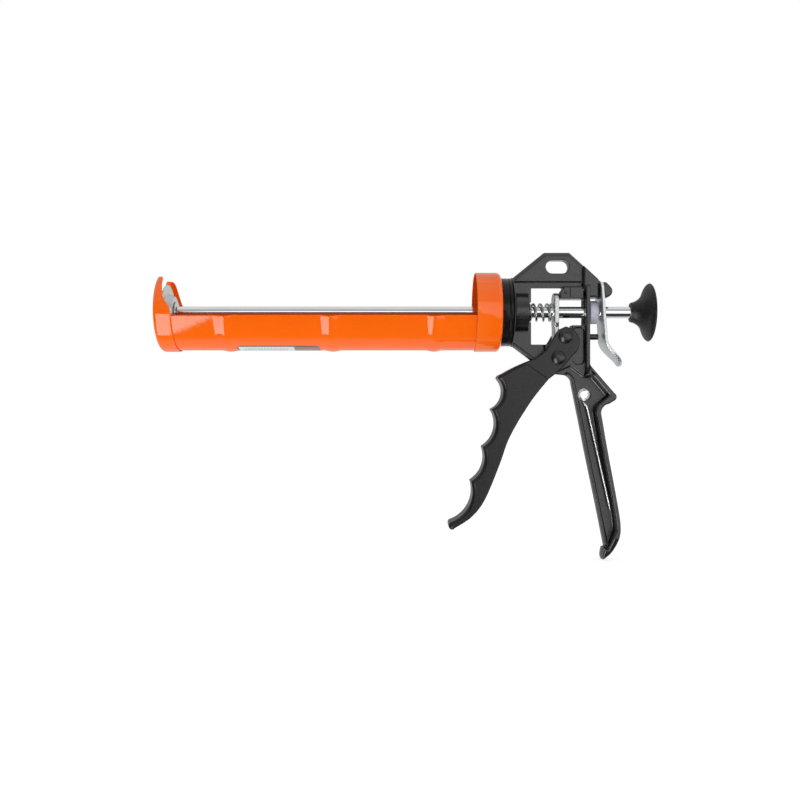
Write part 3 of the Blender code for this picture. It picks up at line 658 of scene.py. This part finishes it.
def hex_nut(name, node, bore, across_flats, material):
    """A nut whose corners are turned down at both ends."""
    low, high = span(node)
    half, per_side, lead = across_flats / 2, 12, 0.3
    rings = []
    for i in range(6 * per_side):
        angle = math.pi / 3 * i / per_side
        flat = half / math.cos(angle % (math.pi / 3) - math.pi / 6)
        turned_off = 0.1 + (flat - half * 0.98) * math.tan(math.radians(30))
        profile = [(high.x, bore + lead), (high.x - lead, bore), (low.x + lead, bore), (low.x, bore + lead)]
        profile += [(low.x, half * 0.97), (low.x + turned_off, flat)]
        profile += [(high.x - turned_off, flat), (high.x, half * 0.97)]
        rings.append([(d, r * math.sin(angle), r * math.cos(angle)) for d, r in profile])
    make(name, *loft(rings, looped=True), node, material, 25)


# ---------- frame ----------

HOUSE_ROOF = [(-31.5, 23.4), (-9.1, 41.5), (8.5, 41.5)]
APRON = [(-31.5, -23.4), (-18.1, -33.5), (-4.0, -43.0)]
WINDOW = [(-18.0, -22.5), (9.6, -22.5), (9.6, -9.2), (17.5, -9.2), (17.5, 8.9), (1.3, 8.9), (1.3, 12.9),
          (4.2, 16.9), (-18.0, 16.9)]


def palm_edge():
    """The handle's rear edge, from the rear wall's foot round the thumb spur down to the foot's tip."""
    edge = [(22.0, -37.5), (38.4, -56.4)]
    edge += arc(edge[-1], (38.6, -61.6), 1.5)
    edge += [(34.6, -64.0)]
    edge += arc(edge[-1], (29.6, -72.0), -2.2)
    back = spline([edge[-1], (33.9, -97), (39.2, -125.3), (42.7, -147.3), (41.5, -158.1), (37.0, -167.5),
                   (31.8, -172.2)])
    toe = [back[-1], (31.3, -171.9), (30.9, -170.2), (31.1, -168.4), (32.4, -164.0)]
    return edge + back[1:] + eased(toe, 0.8, closed=False)[1:]


def palm_inside():
    """The inner side of the palm flange, from the foot back up to the rear wall's foot."""
    line = spline([(34.2, -165.2), (36.0, -161.0), (38.2, -154.1), (39.4, -147.3), (36.0, -126),
                   (30.5, -97.5), (26.0, -72.0)])
    line += arc(line[-1], (29.2, -62.8), 2.0)
    return line + [(34.8, -57.9), (24.0, -45.2), (18.6, -44.4)]


def handle_front():
    """The handle's front edge, from the foot up to the shoulder under the lug."""
    line = spline([(33.0, -162.8), (27.6, -135.7), (20.5, -101.6), (13.5, -66.4), (10.2, -50.1)])
    return line + arc(line[-1], (5.9, -44.0), -1.2)


def hook_nose():
    """The rounded nose that the release lever hooks over, from its top to its underside."""
    return spline([(33.6, 20.8), (36.0, 18.5), (37.6, 16.4), (38.1, 14.5), (37.4, 12.2), (35.7, 10.7),
                   (33.2, 9.8)])


def frame_outline():
    """The whole web: the house over the window, the hook, the handle, and the apron back to the boss."""
    outline = HOUSE_ROOF + [(31.3, 20.8)] + hook_nose() + [(22.0, 10.0)]
    return outline + palm_edge() + handle_front() + APRON[::-1]


def stadium(half_length, low, high):
    """A slot with round ends, its middle at x = 0."""
    radius = (high - low) / 2
    flat = half_length - radius
    line = [(-flat, low), (flat, low)] + arc((flat, low), (flat, high), -radius, steps=12)
    return line + [(-flat, high)] + arc((-flat, high), (-flat, low), -radius, steps=12)[:-1]


def frame_ribs(block, solid):
    """The web with everything that stands out from it: house, shoulder, lug, rear wall, edges and palm."""
    thick = np.abs(block.y)
    house = [(-31.5, 21.0)] + HOUSE_ROOF + [(28.8, 23.0), (28.8, 21.0)]
    bevel = 2.4
    slope = np.clip(bevel + block.drawn(house, edges=(1, 2, 3)), 0, bevel) * 0.75
    solid = joined(solid, both(block.drawn(house), thick + slope - HOUSE, 0.3), 0.3)

    shoulder = [(17.5, 16.0), (22.0, 10.0), (28.0, 10.0), (28.0, 22.4), (17.5, 32.1)]
    hook = [(31.2, 20.7)] + hook_nose() + [(31.8, 10.0)]
    wall = [(19.0, 18.0), (19.0, -44.0), (22.0, -38.0), (22.0, 18.0)]
    lug = [(9.8, -9.2), (20.0, -9.2), (20.0, -45.0), (17.7, -44.5), (8.65, -37.6), (0.0, -41.5),
           (-4.0, -42.0), (-9.0, -37.0), (-9.0, -22.5), (9.8, -22.5)]
    stop = [(1.4, 9.0), (18.0, 9.0), (18.0, 17.4), (4.3, 17.4), (2.9, 15.9), (1.4, 12.9)]
    for outline, half, edge in ((shoulder, SHOULDER, 1.2), (hook, LUG, 1.4), (wall, WALL_HALF, 0.8),
                                (lug, LUG, 0.8), (stop, LUG, 0.7)):
        solid = joined(solid, block.plate(outline, half, edge), 0.9)

    apron_rib = strip(APRON, 2.2)
    front_rib = strip(handle_front()[::-1], 2.0)
    ledge = strip(spline([(26.0, -72.0), (30.0, -97.5), (35.3, -126), (37.0, -137.0)])[::-1], -2.3)
    for outline, half in ((apron_rib, 3.2), (front_rib, 3.9), (ledge, 3.9)):
        solid = joined(solid, block.plate(outline, half, 0.6), 0.8)
    taper_top, taper_length, taper = -157.0, 13.0, 4.5
    palm_half = PALM - taper * np.clip((taper_top - block.z) / taper_length, 0, 1)
    palm = both(block.drawn(palm_edge() + palm_inside()), thick - palm_half, 1.3)
    return joined(solid, palm, 1.6)


def frame_turned(block, solid):
    """The nose, cone and boss round the rod, the spigot that carries the barrel, and the stop peg."""
    face = COLLAR_REAR + 7.7
    nose_r, land, cone_length = 23.4, 0.9, 2.1
    nose = block.rod(face, face + land, nose_r, edge=0.35)
    radius = np.sqrt(block.y ** 2 + block.z ** 2)
    along = (block.x - face - land) / cone_length
    cone_ends = np.maximum(face + 0.4 - block.x, block.x - face - 3.0)
    cone = both(radius - nose_r + along * (nose_r - BOSS_R), cone_ends, 0.1)
    boss = block.rod(face + 1.0, BOSS_REAR, BOSS_R, edge=0.5)
    solid = joined(joined(solid, boss, 1.4), joined(nose, cone * 0.5, 0.4), 1.0)
    spigot_front = span("frame_body")[0].x
    solid = joined(solid, block.rod(spigot_front, face + 1.0, SPIGOT_R, edge=0.5))
    return joined(solid, block.rod(21.0, PEG_END, PEG_R, z=PEG_Z, edge=0.7), 0.6)


def frame_body():
    """The casting: a thin web, the thicker parts grown out of it, then slot, window, pockets and bores."""
    low, high = span("frame_body")
    block = Block((low.x - 1, low.y - 1, low.z - 1), (high.x + 1, high.y + 1, high.z + 1), 0.42)
    thick = np.abs(block.y)
    solid = frame_ribs(block, block.plate(frame_outline(), WEB, 0.7))
    solid = frame_turned(block, solid)
    pocket = eased([(10.4, -10.8), (18.2, -10.8), (18.2, -36.6), (10.4, -36.6)], 3.6, steps=6)
    foot_pocket = [(22.6, -40.6), (22.6, -43.6), (25.4, -43.6)]
    cuts = [
        block.drawn(stadium(8.1, 26.9, 36.2)),
        block.drawn(WINDOW),
        both(block.drawn(pocket), 4.3 - thick),
        both(block.drawn(foot_pocket), 6.5 - thick),
        block.rod(-60.0, 40.0, ROD_R + RUNNING_GAP),
        block.rod(-20.6, -10.0, 7.0),
        block.pin(PIVOT, 3.25),
        block.pin(WIRE_EYE, 4.3),
        both(block.pin((5.2, 13.3), 0.75), 5.3 - thick),
        both(np.abs(block.x - 8.0) - 0.35, np.maximum(5.6 - thick, np.abs(block.z - 13.0) - 4.6)),
    ]
    for cut in cuts:
        solid = without(solid, cut, 0.35)
    make("frame_casting", *skin(block, solid), "frame_body", powder_coat("frame_powder", 0.9))


def rear_bush():
    """A bush with a cup behind it for the release spring."""
    low, high = span("rear_bush")
    bore, cup, cup_r = ROD_R + 0.3, low.x + 2.4, 6.3
    profile = [(low.x, bore), (cup, bore), (cup, cup_r), (high.x, cup_r), (high.x, high.y), (low.x, high.y)]
    make("bush_nylon", *turned(eased(profile[::-1], 0.7)), "rear_bush", nylon("bush_milky"), 40)


def rivet(name, node, centre, shank):
    """A pin with a domed head at each end, a fine rim where each dome meets the cheek."""
    high = span(node)[1].y
    head = span(node)[1].x - centre[0]
    seat = CHEEK[1] + 0.05
    rim = seat + 0.25
    dome = [(seat, shank), (seat, head), (rim, head)]
    dome += [(rim + (high - rim) * math.sin(a), head * 0.985 * math.cos(a))
             for a in (math.pi / 2 * k / 12 for k in range(12))]
    dome.append((high, 0.05))
    profile = [(-d, r) for d, r in reversed(dome)] + dome
    vertices, faces = turned(profile, closed=False, along="Y", centre=centre, sides=64)
    make(name, vertices, [face[::-1] for face in faces], node, powder_coat(f"{name}_black"), 40)


# ---------- push rod ----------

def push_rod():
    """A round bar with a ringed stud at its front end, for the pusher."""
    low, high = span("push_rod")
    shoulder = span("pusher_washer")[1].x + 0.3
    lead, ease, pole, per_ring = 0.6, 0.25, 0.05, 6
    profile = [(low.x, pole), (low.x, STUD_R - lead), (low.x + lead, STUD_R)]
    count = int((shoulder - lead - low.x - lead) / STUD_PITCH * per_ring)
    profile += [(low.x + lead + k * STUD_PITCH / per_ring,
                 STUD_R - STUD_THREAD + STUD_THREAD * math.cos(2 * math.pi * k / per_ring))
                for k in range(count)]
    profile += [(shoulder, STUD_R), (shoulder, ROD_R - ease), (shoulder + ease, ROD_R)]
    profile += [(x, ROD_R) for x in np.linspace(shoulder + 4, high.x - 4, 24)]
    profile += [(high.x - lead, ROD_R), (high.x, ROD_R - lead), (high.x, pole)]
    make("rod_bar", *turned(profile, closed=False, sides=64), "push_rod", chrome("rod_chrome"), 40)


def pusher_plate():
    """A dished disc with a rolled rim."""
    low, high = span("pusher_plate")
    sheet, dish, step, bore = 1.0, 12.0, 2.0, STUD_R + 0.3
    dish_rear = dish + 0.9
    floor_x = high.x - sheet
    front = [(low.x, high.z), (low.x, dish), (floor_x, dish - step), (floor_x, bore)]
    rear = [(high.x, bore), (high.x, dish_rear - step), (low.x + sheet, dish_rear), (low.x + sheet, high.z)]
    make("pusher_stamping", *turned(eased(front + rear, 0.8, steps=5), sides=128), "pusher_plate",
         plated("pusher_zinc", 0.6, roughness=0.4), 40)


def rod_knob():
    """A collar round the rod that flares like a trumpet to a rolled lip."""
    low = span("rod_knob")[0]
    bore, floor_x, ease = ROD_R + RUNNING_GAP, span("push_rod")[1].x + 0.3, 0.4
    flare = spline([(52.0, 6.9), (54.7, 7.8), (57.9, 10.0), (60.0, 12.9), (61.4, 16.0), (62.4, 18.2),
                    (63.5, 19.7), (64.4, 20.3)], 8)
    back = spline([flare[-1], (65.2, 19.4), (64.7, 16.0), (64.2, 8.0), (64.2, ease)], 6)
    profile = [(floor_x, ease), (floor_x, bore), (low.x + ease, bore), (low.x, bore + ease), (low.x, 6.2)]
    profile += arc(profile[-1], flare[0], 0.15, steps=4) + flare[1:] + back[1:]
    make("knob_moulding", *turned(profile, closed=False, sides=128), "rod_knob",
         black_plastic("knob_plastic", 0.42, 0.4), 40)


# ---------- drive plate and levers ----------

MARGIN = Vector((1, 1, 1))


def drive_plate():
    """A thick plate, domed at the top and waisted below the rod."""
    low, high = span("drive_plate")
    block = Block(low - MARGIN, high + MARGIN, 0.34)
    outline = [(-7.0, 9.5)] + arc((-7.0, 9.5), (7.0, 9.5), 4.1, steps=16)
    outline += [(7.0, -7.5), (5.6, -10.5), (5.6, -21.4), (-5.6, -21.4), (-5.6, -10.5), (-7.0, -7.5)]
    plate = both(block.drawn(outline, across="X"), np.maximum(low.x - block.x, block.x - high.x), 0.6)
    plate = without(plate, block.rod(-60, 60, ROD_R + RUNNING_GAP), 0.3)
    make("plate_stamping", *skin(block, plate), "drive_plate", plated("plate_zinc", 0.62))


def release_lever():
    """A bent strip, forked over the frame's arm, curling out to a round thumb tab."""
    low, high = span("release_lever")
    block = Block(low - MARGIN, high + MARGIN, 0.25)
    path = spline([(29.7, 19.6), (31.1, -0.5), (32.3, -18.0), (33.0, -22.0), (35.0, -25.6), (40.2, -31.2),
                   (42.6, -34.2), (43.7, -37.4)], 5)
    away = np.float32(1e9)
    for p, q in zip(path, path[1:]):
        way = np.subtract(q, p)
        u, v = block.x - p[0], block.z - p[1]
        t = np.clip((u * way[0] + v * way[1]) / (way @ way), 0, 1)
        away = np.minimum(away, np.hypot(u - way[0] * t, v - way[1] * t))
    half, fork, fork_foot, top = high.y, 3.3, 9.6, 20.4
    outline = [(half, 17.5), (half, -26.5)] + arc((half, -26.5), (-half, -26.5), 11.4, steps=24)
    outline += [(-half, 17.5), (-half + 2.2, top), (-fork, top), (-fork, fork_foot)]
    outline += [(fork, fork_foot), (fork, top), (half - 2.2, top)]
    half_sheet = 1.0
    lever = both(away - half_sheet, block.drawn(outline, across="X"), 0.35)
    lever = without(lever, block.rod(20, 40, 4.5), 0.3)
    make("lever_stamping", *skin(block, lever), "release_lever",
         plated("lever_zinc", 0.8, (0.94, 0.98, 1.0), roughness=0.4))


FINGER_CURVES = (           # the end of each curve down the finger side, its bulge and its steps
    ((-39.0, -43.3), -0.5, 5), ((-42.0, -46.3), -0.8, 5),
    ((-46.4, -67.6), 5.8, 16), ((-52.6, -93.8), 5.8, 16),
    ((-60.6, -117.5), 4.6, 16), ((-74.6, -145.6), 6.4, 16),
    ((-75.9, -148.0), -0.5, 5), ((-71.8, -149.8), -1.9, 5),
)


def trigger_outline():
    """Finger side, tip and back edge, and how many of its sides are the finger side."""
    line = [(5.2, -10.3)] + arc((5.2, -10.3), (-3.8, -18.4), -1.3)
    line += [(-6.5, -22.9)]
    line += arc(line[-1], (-19.7, -33.9), 1.6)
    for end, bulge, steps in FINGER_CURVES:
        line += arc(line[-1], end, bulge, steps)
    finger_side = len(line) - 4
    line += spline([(-71.3, -149.5), (-60.0, -142.0), (-50.7, -129.7), (-40.8, -106.0), (-33.5, -86.3),
                    (-19.5, -62.8), (-7.0, -47.0)])
    line += [(-1.7, -42.9), (4.5, -37), (9.8, -30.2)]
    line += arc(line[-1], (9.2, -12.0), -5.2, steps=14)
    return line, finger_side


def trigger_lever():
    """A channel open to the rear: two flat cheeks over the frame's lug, then a grip rounded for fingers."""
    low, high = span("trigger_lever")
    block = Block(low - MARGIN, high + MARGIN, 0.4)
    thick = np.abs(block.y)
    outline, finger_side = trigger_outline()
    head = [(-24.7, -35.0), (-6.9, -47.1), (20, -60), (30, -20), (20, 0), (-20, 0)]
    in_head = block.drawn(head)
    front = both(block.drawn(outline, edges=range(finger_side)), thick - GRIP, 3.0)
    back = both(block.drawn(outline, edges=range(finger_side, len(outline))), thick - GRIP, 1.0)
    grip = both(front, back, 0.4)
    grip = without(grip, in_head, 0.6)
    solid = joined(grip, block.plate(outline, CHEEK[1], 0.9), 0.5)
    channel = block.drawn([(x + 3.8, z) for x, z in outline])
    solid = without(solid, both(in_head, thick - CHEEK[0]), 0.3)
    solid = without(solid, both(channel, thick - CHEEK[0] - 0.2, 0.6), 0.5)
    for pin, radius in ((PIVOT, 3.3), (THRUST, 2.5)):
        solid = without(solid, block.pin(pin, radius), 0.3)
    make("trigger_casting", *skin(block, solid), "trigger_lever", powder_coat("trigger_powder", 0.5))


def thrust_roller():
    """The sleeve on the upper pin."""
    low, high = span("thrust_roller")
    bore = 2.5
    outer = high.x - THRUST[0]
    profile = [(low.y, bore), (high.y, bore), (high.y, outer), (low.y, outer)]
    make("roller_sleeve", *turned(eased(profile, 0.3), along="Y", centre=THRUST, sides=64), "thrust_roller",
         plated("roller_steel", 0.55), 40)


def pierce_wire():
    """An open eye sprung into the handle's hole, a step out past the web, and a straight leg to a point."""
    low, high = span("pierce_wire")
    wire = 0.7
    out = low.y + wire
    eye = np.array((WIRE_EYE[0], 0.0, WIRE_EYE[1]))
    tip = np.array((high.x - wire, out, low.z + wire * 0.2))
    radius = 3.35
    turns = np.radians(np.arange(15, 311, 10))
    path = [eye + (radius * math.sin(a), 0.25 * out, -radius * math.cos(a)) for a in turns]
    step = spline([path[-1], eye + (-1.7, 0.6 * out, -4.2), eye + (-1.1, 0.9 * out, -5.6),
                   eye + (0.5, out, -7.4), eye + (1.5, out, -9.8)])
    path = path + [np.array(point) for point in step[1:]]
    path += [path[-1] + (tip - path[-1]) * t for t in (0.3, 0.6, 0.96, 1.0)]
    radii = [wire] * (len(path) - 1) + [wire * 0.35]
    make("wire_probe", *tube(path, radii, 16), "pierce_wire", chrome("wire_steel", 0.34))


# ---------- springs ----------

def springs():
    """Both coils, each on a mesh of its own."""
    low, high = span("drive_spring")
    drive = make("drive_coil", *coil(low.x, high.x, 5.8, 0.8, 4.2, 0.75), "drive_spring",
                 plated("drive_spring_steel", 0.4, roughness=0.25))
    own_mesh(drive)
    low, high = span("release_spring")
    release = make("release_coil", *coil(low.x, high.x, 5.3, 0.4, 2.5, 0.6), "release_spring",
                   plated("release_spring_steel", 0.4, roughness=0.25))
    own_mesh(release)


# ---------- stage ----------

# (tilt in degrees, brightness) round the tool; tilt is 0 towards the camera and 90 straight up
SURROUND = ((-180, 0.62), (-112, 0.72), (-97, 0.66), (-86, 0.17), (-78, 0.05), (24, 0.05), (32, 0.46),
            (52, 0.46), (64, 0.70), (80, 0.80), (140, 0.74), (158, 0.40), (180, 0.40))
BEHIND_LEVEL = 0.5
FRONT_LEVEL = 1.3
SOFTBOX_LEVEL = 5.2
FILL_LEVEL = 0.92


def floor():
    """A pale floor that lights nothing itself: its light is part of the surroundings."""
    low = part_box("frame_body")[0].z - 0.0004
    size = 6.0
    corners = [(-size, -size, low), (size, -size, low), (size, size, low), (-size, size, low)]
    mesh = bpy.data.meshes.new("floor")
    mesh.from_pydata(corners, [], [(0, 1, 2, 3)])
    material = finish("floor_pale", 0.9, Base_Color=(0.5, 0.5, 0.5, 1), Specular_IOR_Level=0.0,
                      Emission_Color=(1, 1, 1, 1), Emission_Strength=0.72)[0]
    mesh.materials.append(material)
    obj = bpy.data.objects.new("floor", mesh)
    bpy.context.scene.collection.objects.link(obj)
    obj.visible_glossy = False
    obj.visible_diffuse = False
    obj.visible_shadow = False


def drawn_curve(world, value, stops):
    """A value drawn through (place, level) stops, straight from one to the next."""
    curve = add(world, "ShaderNodeFloatCurve", ("Value", value))
    points = curve.mapping.curves[0].points
    for place, level in stops[1:-1]:
        points.new(place, level)
    for point, (place, level) in zip(points, stops):
        point.location = place, level
        point.handle_type = "VECTOR"
    curve.mapping.update()
    return curve.outputs["Value"]


class Sky:
    """The surroundings as sums on the direction in which they are looked up."""

    def __init__(self, world):
        self.world = world
        coordinates = add(world, "ShaderNodeTexCoord").outputs["Generated"]
        split = add(world, "ShaderNodeSeparateXYZ", ("Vector", coordinates))
        self.x, y, self.z = (split.outputs[k] for k in "XYZ")
        towards_camera = self.maths("MULTIPLY", y, -1.0)
        self.turn = self.maths("DIVIDE", self.maths("ARCTAN2", self.z, towards_camera), 2 * math.pi)
        self.tilt = self.maths("MULTIPLY", self.turn, 360.0)

    def maths(self, operation, a, b=0.0, c=0.0):
        return add(self.world, "ShaderNodeMath", (0, a), (1, b), (2, c), operation=operation).outputs[0]

    def times(self, a, *more):
        for b in more:
            a = self.maths("MULTIPLY", a, b)
        return a

    def plus(self, base, share, level):
        """base with a share of a level added."""
        return self.maths("MULTIPLY_ADD", share, level, base)

    def step(self, value, low, high):
        """0 at low, 1 at high, eased between them; low may be the larger."""
        return add(self.world, "ShaderNodeMapRange", ("Value", value), ("From Min", low), ("From Max", high),
                   interpolation_type="SMOOTHSTEP").outputs["Result"]

    def surround(self):
        stops = [((tilt + 180) / 360, level) for tilt, level in SURROUND]
        return drawn_curve(self.world, self.maths("ADD", self.turn, 0.5), stops)

    def behind(self):
        """A card behind the tool, towards the handle."""
        turned_away = self.step(self.maths("ABSOLUTE", self.tilt), 140.0, 160.0)
        return self.times(turned_away, self.step(self.x, 0.0, 0.2))

    def front_band(self):
        """A long card beside the camera; its lower edge drops towards the handle."""
        lower = self.plus(6.0, self.step(self.x, 0.06, 0.13), -14.0)
        lower = self.plus(lower, self.step(self.x, 0.14, 0.24), -16.0)
        above = self.step(self.maths("SUBTRACT", self.tilt, lower), -6.0, 4.0)
        return self.times(above, self.step(self.tilt, 30.0, 20.0), self.step(self.x, -0.28, -0.2))

    def softbox(self):
        """A slanted lamp in front of the barrel and below it."""
        slant = self.maths("SUBTRACT", self.plus(-0.196, self.tilt, 0.00077), self.x)
        lengthways = self.times(self.step(slant, -0.008, 0.008), self.step(self.x, -0.6, -0.52))
        around = self.times(self.step(self.tilt, -77.0, -73.0), self.step(self.tilt, -8.0, -11.0))
        return self.times(lengthways, around)


def studio():
    """Surroundings: plain white to the camera; to the tool, cards, a softbox and a pale floor.

    The softbox is mostly for reflections, and the fill from below is for soft light only.
    """
    world = bpy.data.worlds.new("studio")
    bpy.context.scene.world = world
    world.use_nodes = True
    sky = Sky(world)
    path = add(world, "ShaderNodeLightPath").outputs
    level = sky.plus(sky.surround(), sky.behind(), BEHIND_LEVEL)
    level = sky.plus(level, sky.front_band(), FRONT_LEVEL)
    softbox = sky.times(sky.softbox(), sky.plus(0.1, path["Is Glossy Ray"], 0.9))
    level = sky.plus(level, softbox, SOFTBOX_LEVEL)
    fill = sky.times(path["Is Diffuse Ray"], sky.step(sky.z, 0.55, 0.05))
    level = sky.plus(level, fill, FILL_LEVEL)
    seen = add(world, "ShaderNodeMix", (0, path["Is Camera Ray"]), (2, level), (3, 1.0), data_type="FLOAT")
    background = world.node_tree.nodes["Background"]
    background.inputs["Color"].default_value = (1.0, 1.0, 1.0, 1)
    world.node_tree.links.new(seen.outputs[0], background.inputs["Strength"])


def camera():
    """Level, square to the tool's side, a little in front of and below the rod."""
    distance, ahead, below = 0.621, -0.1075, 0.05985
    data = bpy.data.cameras.new("camera")
    data.lens = 39.9
    data.shift_x, data.shift_y = -0.00375, -0.0025
    obj = bpy.data.objects.new("camera", data)
    bpy.context.scene.collection.objects.link(obj)
    obj.location = AXIS + Vector((ahead, -distance, -below))
    obj.rotation_euler = (math.pi / 2, 0, 0)
    bpy.context.scene.camera = obj


def build():
    camera()
    barrel_trough()
    trough_label()
    front_cap()
    rear_collar()
    swivel_ring()
    plain_ring("barrel_shim", "barrel_washer", SPIGOT_R + 0.3, plated("barrel_washer_zinc"))
    hex_nut("barrel_locknut", "barrel_nut", SPIGOT_R + 0.2, 30.0, plated("barrel_nut_zinc"))
    frame_body()
    rear_bush()
    rivet("pivot_dome", "pivot_rivet", PIVOT, 3.0)
    rivet("thrust_dome", "thrust_pin", THRUST, 2.2)
    push_rod()
    pusher_plate()
    plain_ring("pusher_shim", "pusher_washer", STUD_R + 0.3, plated("pusher_washer_zinc"), 0.15)
    hex_nut("pusher_locknut", "pusher_nut", STUD_R + 0.1, 10.0, plated("pusher_nut_zinc"))
    rod_knob()
    drive_plate()
    release_lever()
    trigger_lever()
    thrust_roller()
    pierce_wire()
    springs()
    floor()
    studio()
    bpy.context.scene.view_settings.view_transform = "Standard"


build()
